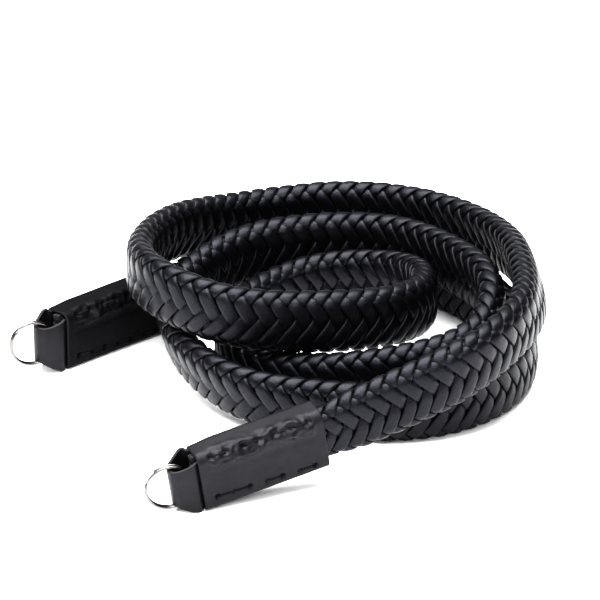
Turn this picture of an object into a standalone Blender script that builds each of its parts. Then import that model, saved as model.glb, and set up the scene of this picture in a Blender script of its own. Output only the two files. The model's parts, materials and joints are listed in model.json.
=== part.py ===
"""A braided leather camera strap, coiled on edge on a table.

The strap is a flattened braid that lies on its narrow edge in a loose coil of about four turns. Each end runs
into a smooth leather sleeve. A folded leather tab comes out of the sleeve's mouth and holds a steel split ring.

Lengths are metres and +Z is up. The plan is laid out round the middle of the coil, with +X to the right and
+Y away from the viewer. At the end everything is shifted so that the origin is under the middle of the object.
"""

import math

import bmesh
import bpy
import numpy as np
from mathutils import Matrix, Vector

# Clearance between pieces that touch on the real strap
SEAT_GAP = 0.0003

# Braided strap
STRAP_WIDTH = 0.0190
STRAP_THICKNESS = 0.0082
RIM_SHARE = 0.94
SECTION_STEP = 0.0054
RIM_STEPS = 6

# Coil, whose plan shares are measured by the mean diameter of its turns
COIL_DIAMETER = 0.100

# Leather sleeves
SLEEVE_LENGTH = 0.0400
SLEEVE_HEIGHT = 0.0192
SLEEVE_THICKNESS = 0.0102
SLEEVE_WALL = 0.0012
ROUNDED_EDGE = 0.0032
FOLDED_EDGE = 0.0020
EDGE_STEPS = 4

# Folded leather tabs
TAB_LEATHER = 0.0011
TAB_INSIDE = 0.0130
TAB_SECTIONS = 30
TAB_EDGE = 0.0002

# Steel split rings
RING_OUTER_RADIUS = 0.0074
RING_WIRE_WIDTH = 0.00095
RING_WIRE_HEIGHT = 0.00085
RING_TURN_GAP = 0.00015
RING_SECTIONS = 64
RING_TURNS = 1.90
RING_STEP_TURN = 0.93
RING_STEP_TURNS = 0.09
RING_WIRE_SIDES = 6

# How far the braid takes to narrow in front of a sleeve and to thin out between the panels
BRAID_END_INSET = 0.0005
NECK_LENGTH = 0.0130
THIN_LENGTH = 0.0065

# Route of the strap's lower edge, clockwise seen from above, from the left sleeve to the near one.
# Across and away are shares of the coil's diameter, lift is a share of the strap's width, and lean is in
# degrees, positive where the top edge leans away from the middle of the coil.
ROUTE_COLUMNS = ("station", "across", "away", "lift", "lean")
ROUTE = (
    ("low_back_start", -0.430, 0.310, 0.03, 0),
    ("low_back_left", -0.250, 0.430, 0.01, 0),
    ("low_back", -0.040, 0.485, 0.01, 0),
    ("low_back_right", 0.190, 0.445, 0.01, 0),
    ("low_right_turn", 0.374, 0.285, 0.01, 9),
    ("low_right", 0.507, 0.082, 0.01, 6),
    ("low_right_side", 0.575, -0.150, 0.00, 0),
    ("outer_front_right", 0.547, -0.330, 0.00, 0),
    ("outer_front_turn", 0.423, -0.515, 0.00, 0),
    ("outer_front", 0.215, -0.620, 0.00, 5),
    ("outer_front_middle", -0.040, -0.615, 0.03, 10),
    ("outer_front_left", -0.270, -0.550, 0.10, 14),
    ("left_turn_front", -0.435, -0.370, 0.21, 18),
    ("left_turn", -0.505, -0.095, 0.29, 16),
    ("left_turn_back", -0.455, 0.110, 0.37, 8),
    ("middle_back_left", -0.347, 0.245, 0.51, 0),
    ("middle_back", -0.080, 0.363, 0.58, 0),
    ("middle_back_right", 0.180, 0.348, 0.58, 0),
    ("middle_right_turn", 0.368, 0.155, 0.67, -4),
    ("middle_right", 0.476, -0.140, 0.66, -4),
    ("inner_front_right", 0.425, -0.315, 0.39, -2),
    ("inner_front_turn", 0.190, -0.440, 0.18, 0),
    ("inner_front", -0.060, -0.450, 0.05, 0),
    ("inner_front_left", -0.265, -0.360, 0.00, 0),
    ("inner_left", -0.335, -0.100, 0.00, 0),
    ("inner_back_left", -0.248, 0.120, 0.02, 0),
    ("inner_back", -0.037, 0.263, 0.11, 0),
    ("inner_back_right", 0.185, 0.205, 0.26, 0),
    ("inner_right", 0.268, -0.005, 0.53, 0),
    ("bridge_right", 0.193, -0.250, 0.79, 0),
    ("bridge", -0.065, -0.395, 1.00, -5),
    ("bridge_left", -0.330, -0.415, 1.16, 0),
    ("bridge_turn", -0.540, -0.275, 1.29, 0),
    ("top_left", -0.610, -0.010, 1.13, -2),
    ("top_back_start", -0.544, 0.250, 0.97, -8),
    ("top_back_left", -0.305, 0.525, 0.62, -6),
    ("top_back", 0.010, 0.605, 0.61, 0),
    ("top_back_right", 0.295, 0.522, 0.66, -5),
    ("top_right_turn", 0.519, 0.247, 0.81, -13),
    ("top_right", 0.580, -0.080, 1.06, -17),
    ("top_right_side", 0.584, -0.270, 1.13, -14),
    ("tail_turn", 0.530, -0.510, 1.17, 0),
    ("tail", 0.360, -0.725, 0.98, 0),
    ("tail_end", 0.145, -0.830, 0.66, 0),
)

# The two ends. The mouth's place is in shares of the coil's diameter and plan, pitch and roll turn the sleeve:
# plan from +X, pitch lifts the end at the coil, roll brings the top edge towards the viewer. Reach is how far
# the tab stands out of the mouth, slide how far the ring's middle lies beyond the inside of the fold and rise
# how far it lies above the sleeve's axis, all in shares of the sleeve's thickness. Swing turns the ring on the
# fold, and step is where its wire steps over, in degrees. The fold's two edges are shares of half the hollow's
# height.
END_COLUMNS = (
    "end", "across", "away", "plan", "pitch", "roll", "reach", "slide", "rise", "swing", "step",
    "fold_top", "fold_bottom",
)
ENDS = (
    ("left", -0.864, -0.109, 42.7, 0, 0, 0.865, 0.218, 0.09, -20, 125, 0.74, 0.53),
    ("near", -0.420, -1.064, 23.0, 10, 4, 0.820, 0.130, 0.00, -9, 150, 0.69, 0.69),
)

# The tab from the sleeve's mouth to the middle of the fold. Run is a share of the reach, spread a share of
# the panel's seat beside the braid, and the edges are shares of half the hollow's height. Tip is how far the
# edges have come from these shares to those of the fold.
TAB_COLUMNS = ("place", "run", "spread", "front_top", "back_top", "bottom", "tip")
TAB = (
    ("mouth", 0.00, 1.00, 0.82, 0.95, 0.93, 0.00),
    ("flare", 0.16, 1.12, 0.82, 1.05, 1.07, 0.00),
    ("cheek", 0.45, 1.14, 0.77, 1.00, 0.98, 0.10),
    ("turn", 0.70, 0.95, 0.72, 0.90, 0.90, 0.60),
    ("shoulder", 0.87, 0.76, 0.70, 0.80, 0.80, 0.95),
    ("nose", 0.965, 0.46, 0.69, 0.70, 0.70, 1.00),
    ("fold", 1.00, 0.00, 0.69, 0.69, 0.69, 1.00),
)


def rows(columns, table):
    """The rows of a table, each as a dictionary by column name."""
    return [dict(zip(columns, row)) for row in table]


def solve_curve(points, start_slope, end_slope):
    """A smooth cubic curve through the points, with its directions set at both ends.

    Returns the points, their distances along the chords and the curve's second derivatives there.
    """
    points = np.asarray(points, dtype=float)
    chords = np.linalg.norm(np.diff(points[:, :3], axis=0), axis=1)
    knots = np.concatenate([[0.0], np.cumsum(chords)])
    count = len(points)
    matrix = np.zeros((count, count))
    right = np.zeros_like(points)
    slopes = np.diff(points, axis=0) / chords[:, None]
    matrix[0, 0] = 2 * chords[0]
    matrix[0, 1] = chords[0]
    right[0] = 6 * (slopes[0] - start_slope)
    for i in range(1, count - 1):
        matrix[i, i - 1] = chords[i - 1]
        matrix[i, i] = 2 * (chords[i - 1] + chords[i])
        matrix[i, i + 1] = chords[i]
        right[i] = 6 * (slopes[i] - slopes[i - 1])
    matrix[-1, -2] = chords[-1]
    matrix[-1, -1] = 2 * chords[-1]
    right[-1] = 6 * (end_slope - slopes[-1])
    return points, knots, np.linalg.solve(matrix, right)


def read_curve(curve, samples):
    """Values and slopes of a solved curve at evenly spaced samples along it."""
    points, knots, bends = curve
    at = np.linspace(0.0, knots[-1], samples)
    span = np.clip(np.searchsorted(knots, at, side="right") - 1, 0, len(knots) - 2)
    length = (knots[span + 1] - knots[span])[:, None]
    after = at[:, None] - knots[span][:, None]
    before = length - after
    first, last = bends[span], bends[span + 1]
    start = points[span] / length - first * length / 6
    finish = points[span + 1] / length - last * length / 6
    values = (first * before**3 + last * after**3) / (6 * length) + start * before + finish * after
    slopes = (last * after**2 - first * before**2) / (2 * length) - start + finish
    return values, slopes


def make_material(name, colour, roughness, metallic=0.0):
    """A Principled material with a plain colour."""
    material = bpy.data.materials.new(name)
    material.use_nodes = True
    shader = material.node_tree.nodes["Principled BSDF"]
    shader.inputs["Base Color"].default_value = (*colour, 1.0)
    shader.inputs["Roughness"].default_value = roughness
    shader.inputs["Metallic"].default_value = metallic
    material.diffuse_color = (*colour, 1.0)
    return material


def make_object(name, mesh_builder, material, sharp_angle):
    """An object from a filled bmesh, shaded smooth but for its sharp edges."""
    bmesh.ops.recalc_face_normals(mesh_builder, faces=mesh_builder.faces)
    mesh = bpy.data.meshes.new(name)
    mesh_builder.to_mesh(mesh)
    mesh_builder.free()
    mesh.materials.append(material)
    mesh.shade_smooth()
    mesh.set_sharp_from_angle(angle=math.radians(sharp_angle))
    item = bpy.data.objects.new(name, mesh)
    bpy.context.scene.collection.objects.link(item)
    return item


def loft(mesh_builder, sections):
    """Joins closed sections of equal point counts into a skin with a cap at each end."""
    loops = [[mesh_builder.verts.new(Vector(point)) for point in section] for section in sections]
    for first, second in zip(loops, loops[1:]):
        for i, corner in enumerate(first):
            beside = (i + 1) % len(first)
            mesh_builder.faces.new((corner, first[beside], second[beside], second[i]))
    mesh_builder.faces.new(loops[0])
    mesh_builder.faces.new(list(reversed(loops[-1])))


def sleeve_hollow():
    """Thickness and height of the hollow in a sleeve."""
    return SLEEVE_THICKNESS - 2 * SLEEVE_WALL, SLEEVE_HEIGHT - 2 * SLEEVE_WALL


def sleeve_outline(inset):
    """The sleeve's section as (across, up) points, inset from its outer face.

    The front top edge is rounded by the puckered seam, and the other three are tight folds.
    """
    half_thickness = SLEEVE_THICKNESS / 2 - inset
    half_height = SLEEVE_HEIGHT / 2 - inset
    corners = (
        (1, 1, FOLDED_EDGE, 0),
        (-1, 1, ROUNDED_EDGE, 90),
        (-1, -1, FOLDED_EDGE, 180),
        (1, -1, FOLDED_EDGE, 270),
    )
    points = []
    for across, up, radius, start in corners:
        radius = max(radius - inset, TAB_EDGE)
        middle = (across * (half_thickness - radius), up * (half_height - radius))
        for step in range(EDGE_STEPS + 1):
            angle = math.radians(start + 90 * step / EDGE_STEPS)
            points.append((middle[0] + radius * math.cos(angle), middle[1] + radius * math.sin(angle)))
    return points


def end_frame(end):
    """Matrix of an end: origin in the sleeve's mouth, +X into the sleeve, +Y to the back and +Z up.

    The height sets the sleeve's lowest edge on the table.
    """
    turn = (
        Matrix.Rotation(math.radians(end["plan"]), 4, "Z")
        @ Matrix.Rotation(-math.radians(end["pitch"]), 4, "Y")
        @ Matrix.Rotation(math.radians(end["roll"]), 4, "X")
    )
    lowest = min((turn @ Vector((0.0, across, up))).z for across, up in sleeve_outline(0.0))
    place = Vector((end["across"] * COIL_DIAMETER, end["away"] * COIL_DIAMETER, -lowest))
    return Matrix.Translation(place) @ turn


def strap_section(width, thickness):
    """The braid's section as (side, up) points: round rims and slightly swelling faces."""
    rim = thickness / 2 * RIM_SHARE
    straight = width / 2 - rim
    points = []
    for lift, start in ((straight, 0.0), (-straight, math.pi)):
        for step in range(RIM_STEPS + 1):
            angle = start + math.pi * step / RIM_STEPS
            points.append((rim * math.cos(angle), lift + rim * math.sin(angle)))
        points.append((thickness / 2 * math.cos(start + math.pi), 0.0))
    return points


def strap_size(distance):
    """Width and thickness of the braid at a distance from the mouth of its nearer sleeve."""
    hollow_thickness, hollow_height = sleeve_hollow()
    neck = (hollow_height - 2 * SEAT_GAP, hollow_thickness - 2 * SEAT_GAP)
    thin = neck[1] - 2 * (TAB_LEATHER + SEAT_GAP)
    thin_end = TAB_INSIDE + SEAT_GAP
    if distance < SLEEVE_LENGTH:
        share = ease((distance - thin_end) / THIN_LENGTH)
        return neck[0], thin + (neck[1] - thin) * share
    share = ease((distance - SLEEVE_LENGTH) / NECK_LENGTH)
    return neck[0] + (STRAP_WIDTH - neck[0]) * share, neck[1] + (STRAP_THICKNESS - neck[1]) * share


def mix(first, second, share):
    """The value that lies a share of the way from the first to the second."""
    return first + (second - first) * share


def ease(share):
    """A smooth step from 0 to 1."""
    share = min(max(share, 0.0), 1.0)
    return share * share * (3 - 2 * share)


def strap_line(left, near):
    """The braid's middle line from mouth to mouth: places, directions and leans.

    The stretch inside each sleeve is straight and follows the sleeve's axis.
    """
    route = rows(ROUTE_COLUMNS, ROUTE)
    left_frame, near_frame = end_frame(left), end_frame(near)
    left_axis = left_frame.to_3x3() @ Vector((1.0, 0.0, 0.0))
    near_axis = near_frame.to_3x3() @ Vector((-1.0, 0.0, 0.0))
    left_exit = left_frame @ Vector((SLEEVE_LENGTH, 0.0, 0.0))
    near_exit = near_frame @ Vector((SLEEVE_LENGTH, 0.0, 0.0))
    free = [(*left_exit, -left["roll"])]
    for row in route:
        height = row["lift"] * STRAP_WIDTH + STRAP_WIDTH / 2
        free.append((row["across"] * COIL_DIAMETER, row["away"] * COIL_DIAMETER, height, row["lean"]))
    free.append((*near_exit, near["roll"]))
    curve = solve_curve(free, np.array([*left_axis, 0.0]), np.array([*near_axis, 0.0]))
    samples = round(curve[1][-1] / SECTION_STEP)
    values, slopes = read_curve(curve, samples)
    inside = [BRAID_END_INSET, TAB_INSIDE + SEAT_GAP]
    inside += [inside[1] + THIN_LENGTH * share for share in (0.25, 0.5, 0.75, 1.0)]
    places, directions, leans, distances = [], [], [], []
    for distance in inside:
        places.append(left_frame @ Vector((distance, 0.0, 0.0)))
        directions.append(left_axis)
        leans.append(-left["roll"])
        distances.append(distance)
    run = np.concatenate([[0.0], np.cumsum(np.linalg.norm(np.diff(values[:, :3], axis=0), axis=1))])
    for value, slope, along in zip(values, slopes, run):
        places.append(Vector(value[:3]))
        directions.append(Vector(slope[:3]).normalized())
        leans.append(value[3])
        distances.append(SLEEVE_LENGTH + min(along, run[-1] - along))
    for distance in reversed(inside):
        places.append(near_frame @ Vector((distance, 0.0, 0.0)))
        directions.append(near_axis)
        leans.append(near["roll"])
        distances.append(distance)
    return zip(places, directions, leans, distances)


def make_strap(left, near, material):
    """The braid as one band, swept along its middle line."""
    upright = Vector((0.0, 0.0, 1.0))
    sections = []
    for place, direction, lean, distance in strap_line(left, near):
        side = direction.cross(upright).normalized()
        up = side.cross(direction)
        tilt = math.radians(lean)
        leaning_up = up * math.cos(tilt) - side * math.sin(tilt)
        leaning_side = side * math.cos(tilt) + up * math.sin(tilt)
        outline = strap_section(*strap_size(distance))
        sections.append([place + leaning_side * across + leaning_up * height for across, height in outline])
    builder = bmesh.new()
    loft(builder, sections)
    return make_object("braided_strap", builder, material, 60)


def make_sleeve(name, material):
    """A hollow leather sleeve along +X from its mouth at the origin."""
    builder = bmesh.new()
    skins = []
    for inset in (0.0, SLEEVE_WALL):
        loops = []
        for along in (0.0, SLEEVE_LENGTH):
            outline = sleeve_outline(inset)
            loops.append([builder.verts.new((along, across, up)) for across, up in outline])
        skins.append(loops)
    outer, inner = skins
    count = len(outer[0])
    for i in range(count):
        beside = (i + 1) % count
        builder.faces.new((outer[0][i], outer[0][beside], outer[1][beside], outer[1][i]))
        builder.faces.new((inner[0][beside], inner[0][i], inner[1][i], inner[1][beside]))
        builder.faces.new((outer[0][beside], outer[0][i], inner[0][i], inner[0][beside]))
        builder.faces.new((outer[1][i], outer[1][beside], inner[1][beside], inner[1][i]))
    return make_object(name, builder, material, 40)


def tab_line(end):
    """The tab's folded middle line as (along, across, top, bottom), from the back panel to the front one."""
    hollow_thickness, hollow_height = sleeve_hollow()
    seat = hollow_thickness / 2 - SEAT_GAP - TAB_LEATHER / 2
    half_height = hollow_height / 2
    fold = end["reach"] * SLEEVE_THICKNESS - TAB_LEATHER / 2
    back = []
    front = []
    for row in rows(TAB_COLUMNS, TAB):
        along = -row["run"] * fold
        bottom = -half_height * mix(row["bottom"], end["fold_bottom"], row["tip"])
        back_top = half_height * mix(row["back_top"], end["fold_top"], row["tip"])
        front_top = half_height * mix(row["front_top"], end["fold_top"], row["tip"])
        back.append((along, row["spread"] * seat, back_top, bottom))
        front.append((along, -row["spread"] * seat, front_top, bottom))
    knots = back + front[-2::-1]
    outward = np.array([-1.0, 0.0, 0.0, 0.0])
    plan = [(along, across, 0.0, top, bottom) for along, across, top, bottom in knots]
    slope = np.insert(outward, 2, 0.0)
    values, slopes = read_curve(solve_curve(plan, slope, -slope), TAB_SECTIONS)
    line = [(TAB_INSIDE, seat, back[0][2], back[0][3], -1.0, 0.0)]
    for value, heading in zip(values, slopes):
        length = math.hypot(heading[0], heading[1])
        line.append((value[0], value[1], value[3], value[4], heading[0] / length, heading[1] / length))
    line.append((TAB_INSIDE, -seat, front[0][2], front[0][3], 1.0, 0.0))
    return line


def make_tab(name, end, material):
    """A band of leather folded round the ring, with both panels running back into the sleeve."""
    half = TAB_LEATHER / 2
    sections = []
    for along, across, top, bottom, heading_x, heading_y in tab_line(end):
        outward = Vector((heading_y, -heading_x, 0.0))
        middle = Vector((along, across, 0.0))
        corners = (
            (half, bottom + TAB_EDGE),
            (half, top - TAB_EDGE),
            (half - TAB_EDGE, top),
            (TAB_EDGE - half, top),
            (-half, top - TAB_EDGE),
            (-half, bottom + TAB_EDGE),
            (TAB_EDGE - half, bottom),
            (half - TAB_EDGE, bottom),
        )
        sections.append([middle + outward * away + Vector((0.0, 0.0, up)) for away, up in corners])
    builder = bmesh.new()
    loft(builder, sections)
    return make_object(name, builder, material, 35)


def make_ring(name, step_angle, material):
    """A split ring in the XZ plane: a flat wire of nearly two turns that steps over once."""
    middle_radius = RING_OUTER_RADIUS - RING_WIRE_WIDTH / 2
    half_pitch = (RING_WIRE_HEIGHT + RING_TURN_GAP) / 2
    start_turn = step_angle / 360 - RING_STEP_TURN - RING_STEP_TURNS / 2
    sections = []
    for i in range(RING_SECTIONS + 1):
        turn = RING_TURNS * i / RING_SECTIONS
        offset = half_pitch * (2 * ease((turn - RING_STEP_TURN) / RING_STEP_TURNS) - 1)
        angle = 2 * math.pi * (start_turn + turn)
        outward = Vector((math.cos(angle), 0.0, math.sin(angle)))
        section = []
        for side in range(RING_WIRE_SIDES):
            around = 2 * math.pi * (side + 0.5) / RING_WIRE_SIDES
            radius = middle_radius + RING_WIRE_WIDTH / 2 * math.cos(around) / math.cos(math.pi / RING_WIRE_SIDES)
            section.append(outward * radius + Vector((0.0, offset + RING_WIRE_HEIGHT / 2 * math.sin(around), 0.0)))
        sections.append(section)
    builder = bmesh.new()
    loft(builder, sections)
    return make_object(name, builder, material, 50)


def make_end(end, leather, steel):
    """The sleeve, tab and ring of one end, parented to an empty in the sleeve's mouth."""
    holder = bpy.data.objects.new(end["end"] + "_end", None)
    bpy.context.scene.collection.objects.link(holder)
    holder.matrix_world = end_frame(end)
    fold_inside = end["reach"] * SLEEVE_THICKNESS - TAB_LEATHER
    swing = Matrix.Rotation(math.radians(end["swing"]), 4, "Z")
    beyond = Vector((-end["slide"] * SLEEVE_THICKNESS, 0.0, end["rise"] * SLEEVE_THICKNESS))
    sleeve = make_sleeve(end["end"] + "_sleeve", leather)
    tab = make_tab(end["end"] + "_tab", end, leather)
    ring = make_ring(end["end"] + "_split_ring", end["step"], steel)
    for piece in (sleeve, tab, ring):
        piece.parent = holder
    ring.matrix_local = Matrix.Translation((-fold_inside, 0.0, 0.0)) @ swing @ Matrix.Translation(beyond)
    return holder


def stand_on_origin(movers):
    """Shifts the holders so that the origin is under the middle of the whole object."""
    bpy.context.view_layer.update()
    corners = []
    for item in bpy.context.scene.objects:
        if item.type == "MESH":
            corners += [item.matrix_world @ vertex.co for vertex in item.data.vertices]
    low = Vector([min(corner[axis] for corner in corners) for axis in range(3)])
    high = Vector([max(corner[axis] for corner in corners) for axis in range(3)])
    for mover in movers:
        mover.location -= Vector(((low.x + high.x) / 2, (low.y + high.y) / 2, low.z))
    bpy.context.view_layer.update()


def main():
    for item in list(bpy.data.objects):
        bpy.data.objects.remove(item, do_unlink=True)
    braid_leather = make_material("braided black leather", (0.020, 0.020, 0.023), 0.40)
    plain_leather = make_material("smooth black leather", (0.026, 0.026, 0.028), 0.48)
    steel = make_material("bright steel", (0.72, 0.72, 0.73), 0.16, 1.0)
    left, near = rows(END_COLUMNS, ENDS)
    strap = make_strap(left, near, braid_leather)
    holders = [make_end(end, plain_leather, steel) for end in (left, near)]
    stand_on_origin([strap, *holders])


main()
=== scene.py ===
# %% [markdown]
# A braided leather camera strap, coiled on a table
#
# The strap is twelve leather laces, braided flat round a thin core and coiled on its narrow edge. Each end goes
# into a smooth leather sleeve. A folded tab comes out of the sleeve's mouth and holds a small steel split ring.
# Lengths are metres, +Z is up, and every piece is made where the solid model of the strap already lies.

# %% Load the solid model
import json
import math

import bmesh
import bpy
import numpy as np
from mathutils import Matrix, Vector, noise

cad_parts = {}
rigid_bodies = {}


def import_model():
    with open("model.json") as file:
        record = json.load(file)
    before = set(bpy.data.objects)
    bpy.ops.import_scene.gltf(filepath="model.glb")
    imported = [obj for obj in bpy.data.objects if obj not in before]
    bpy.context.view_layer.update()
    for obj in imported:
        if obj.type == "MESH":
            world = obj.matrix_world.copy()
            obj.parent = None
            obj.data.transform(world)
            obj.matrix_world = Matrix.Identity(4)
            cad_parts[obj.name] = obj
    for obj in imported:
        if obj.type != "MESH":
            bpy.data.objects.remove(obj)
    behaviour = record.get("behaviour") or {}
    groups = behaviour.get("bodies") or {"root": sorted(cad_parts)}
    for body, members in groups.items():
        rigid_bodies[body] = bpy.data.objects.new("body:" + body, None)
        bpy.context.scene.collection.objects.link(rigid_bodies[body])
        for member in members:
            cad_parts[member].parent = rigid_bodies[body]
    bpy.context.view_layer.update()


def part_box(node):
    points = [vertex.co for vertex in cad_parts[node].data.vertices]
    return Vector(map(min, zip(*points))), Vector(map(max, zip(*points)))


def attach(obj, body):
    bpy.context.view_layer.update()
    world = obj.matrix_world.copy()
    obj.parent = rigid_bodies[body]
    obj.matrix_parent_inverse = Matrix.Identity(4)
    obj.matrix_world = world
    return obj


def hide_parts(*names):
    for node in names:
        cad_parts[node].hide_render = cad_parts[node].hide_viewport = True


for left_over in list(bpy.data.objects):
    bpy.data.objects.remove(left_over, do_unlink=True)
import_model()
scene = bpy.context.scene

# %% [markdown]
# The route of the strap
#
# On the real strap nothing but gravity and stiff leather sets the coil. The solid model was laid out along a
# table of stations, so the laces need the same line. The table is repeated here: where the lower edge of the
# strap passes, how high it is lifted by the turns beneath, and how far it leans. A cubic curve through the
# stations gives one smooth line, which is the path that every lace is braided along.

# %% Stations of the strap's lower edge
STRAP_WIDTH = 0.0190
STRAP_THICKNESS = 0.0082
RIM_SHARE = 0.94
COIL_DIAMETER = 0.100

# Across, away (shares of the coil's diameter), lift (share of the strap's width), lean (degrees)
STATIONS = (
    (-0.430, 0.310, 0.03, 0),
    (-0.250, 0.430, 0.01, 0),
    (-0.040, 0.485, 0.01, 0),
    (0.190, 0.445, 0.01, 0),
    (0.374, 0.285, 0.01, 9),
    (0.507, 0.082, 0.01, 6),
    (0.575, -0.150, 0.00, 0),
    (0.547, -0.330, 0.00, 0),
    (0.423, -0.515, 0.00, 0),
    (0.215, -0.620, 0.00, 5),
    (-0.040, -0.615, 0.03, 10),
    (-0.270, -0.550, 0.10, 14),
    (-0.435, -0.370, 0.21, 18),
    (-0.505, -0.095, 0.29, 16),
    (-0.455, 0.110, 0.37, 8),
    (-0.347, 0.245, 0.51, 0),
    (-0.080, 0.363, 0.58, 0),
    (0.180, 0.348, 0.58, 0),
    (0.368, 0.155, 0.67, -4),
    (0.476, -0.140, 0.66, -4),
    (0.425, -0.315, 0.39, -2),
    (0.190, -0.440, 0.18, 0),
    (-0.060, -0.450, 0.05, 0),
    (-0.265, -0.360, 0.00, 0),
    (-0.335, -0.100, 0.00, 0),
    (-0.248, 0.120, 0.02, 0),
    (-0.037, 0.263, 0.11, 0),
    (0.185, 0.205, 0.26, 0),
    (0.268, -0.005, 0.53, 0),
    (0.193, -0.250, 0.79, 0),
    (-0.065, -0.395, 1.00, -5),
    (-0.330, -0.415, 1.16, 0),
    (-0.540, -0.275, 1.29, 0),
    (-0.610, -0.010, 1.13, -2),
    (-0.544, 0.250, 0.97, -8),
    (-0.305, 0.525, 0.62, -6),
    (0.010, 0.605, 0.61, 0),
    (0.295, 0.522, 0.66, -5),
    (0.519, 0.247, 0.81, -13),
    (0.580, -0.080, 1.06, -17),
    (0.584, -0.270, 1.13, -14),
    (0.530, -0.510, 1.17, 0),
    (0.360, -0.725, 0.98, 0),
    (0.145, -0.830, 0.66, 0),
)

# %% [markdown]
# The two ends
#
# A sleeve hides the place where the laces stop. Its mouth, its heading and its tilt are taken from the solid
# model's own numbers. Each end gets a frame with +X running into the sleeve, +Y to the back and +Z up, so that
# sleeves, tabs and rings can be drawn lying straight and then put in place by one matrix.

# %% Frames of the two ends
SLEEVE_LENGTH = 0.0400
SLEEVE_HEIGHT = 0.0192
SLEEVE_THICKNESS = 0.0102
SLEEVE_WALL = 0.0012
ROUNDED_EDGE = 0.0032
FOLDED_EDGE = 0.0020
LEAST_EDGE = 0.0002

# Across, away, plan, pitch, roll, then the ring: reach, slide, rise, swing, step, and the fold's two edges
ENDS = {
    "left": dict(across=-0.864, away=-0.109, plan=42.7, pitch=0, roll=0, reach=0.865, slide=0.218, rise=0.09,
                 swing=-20, step=125, fold_top=0.74, fold_bottom=0.66),
    "near": dict(across=-0.420, away=-1.064, plan=23.0, pitch=10, roll=4, reach=0.820, slide=0.130, rise=0.00,
                 swing=-9, step=150, fold_top=0.69, fold_bottom=0.77),
}

# The corners of a box: their two sides and the angle at which the arc round each one starts
CORNERS = ((1, 1, 0), (-1, 1, 90), (-1, -1, 180), (1, -1, 270))


def rounded_box(half_across, half_up, radii, steps):
    """A box with rounded corners as (across, up) points."""
    points = []
    for (across, up, start), radius in zip(CORNERS, radii):
        middle = (across * (half_across - radius), up * (half_up - radius))
        for step in range(steps + 1):
            angle = math.radians(start + 90 * step / steps)
            points.append((middle[0] + radius * math.cos(angle), middle[1] + radius * math.sin(angle)))
    return points


def sleeve_outline(inset, steps=4):
    """The sleeve's section; only the front top edge is widely rounded."""
    radii = [max(radius - inset, LEAST_EDGE) for radius in (FOLDED_EDGE, ROUNDED_EDGE, FOLDED_EDGE, FOLDED_EDGE)]
    return rounded_box(SLEEVE_THICKNESS / 2 - inset, SLEEVE_HEIGHT / 2 - inset, radii, steps)


def end_frame(end):
    """Matrix of an end, with the sleeve's lowest edge on the table."""
    turn = (
        Matrix.Rotation(math.radians(end["plan"]), 4, "Z")
        @ Matrix.Rotation(-math.radians(end["pitch"]), 4, "Y")
        @ Matrix.Rotation(math.radians(end["roll"]), 4, "X")
    )
    lowest = min((turn @ Vector((0.0, across, up))).z for across, up in sleeve_outline(0.0))
    place = Vector((end["across"] * COIL_DIAMETER, end["away"] * COIL_DIAMETER, -lowest))
    return Matrix.Translation(place) @ turn


END_FRAMES = {name: end_frame(end) for name, end in ENDS.items()}
print("sleeve mouths:", {name: [round(v, 4) for v in m.translation] for name, m in END_FRAMES.items()})

# %% [markdown]
# One smooth line from sleeve to sleeve
#
# A cubic spline is solved through the stations by chord length, with its directions fixed where the strap leaves
# each sleeve. Sampling it every millimetre gives the guide: a row of points that carry the strap's side and up
# directions and its size there. Points are enough, because the laces only look values up on it.

# %% Solve the line and sample it
SEAT_GAP = 0.0003
BRAID_END_INSET = 0.0005
TAB_INSIDE = 0.0130
TAB_LEATHER = 0.0011
THIN_LENGTH = 0.0065
NECK_LENGTH = 0.0130
GUIDE_STEP = 0.0010
LINE_SAMPLES = 6000


def ease(share):
    """A smooth step from 0 to 1."""
    share = np.clip(share, 0.0, 1.0)
    return share * share * (3 - 2 * share)


def travelled(points):
    """How far each point of a row is along it."""
    return np.concatenate([[0.0], np.cumsum(np.linalg.norm(np.diff(points, axis=0), axis=1))])


def solve_curve(points, start_slope, end_slope):
    """Points, chord distances and second derivatives of a clamped cubic curve."""
    points = np.asarray(points, dtype=float)
    chords = np.linalg.norm(np.diff(points[:, :3], axis=0), axis=1)
    count = len(points)
    matrix = np.zeros((count, count))
    right = np.zeros_like(points)
    slopes = np.diff(points, axis=0) / chords[:, None]
    matrix[0, :2] = 2 * chords[0], chords[0]
    matrix[-1, -2:] = chords[-1], 2 * chords[-1]
    for i in range(1, count - 1):
        matrix[i, i - 1 : i + 2] = chords[i - 1], 2 * (chords[i - 1] + chords[i]), chords[i]
    right[0] = 6 * (slopes[0] - start_slope)
    right[1:-1] = 6 * np.diff(slopes, axis=0)
    right[-1] = 6 * (end_slope - slopes[-1])
    return points, np.concatenate([[0.0], np.cumsum(chords)]), np.linalg.solve(matrix, right)


def read_curve(curve, at):
    """Values and slopes of a solved curve at chord distances."""
    points, knots, bends = curve
    span = np.clip(np.searchsorted(knots, at, side="right") - 1, 0, len(knots) - 2)
    length = (knots[span + 1] - knots[span])[:, None]
    after = at[:, None] - knots[span][:, None]
    before = length - after
    first, last = bends[span], bends[span + 1]
    start = points[span] / length - first * length / 6
    finish = points[span + 1] / length - last * length / 6
    values = (first * before**3 + last * after**3) / (6 * length) + start * before + finish * after
    slopes = (last * after**2 - first * before**2) / (2 * length) - start + finish
    return values, slopes


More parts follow.
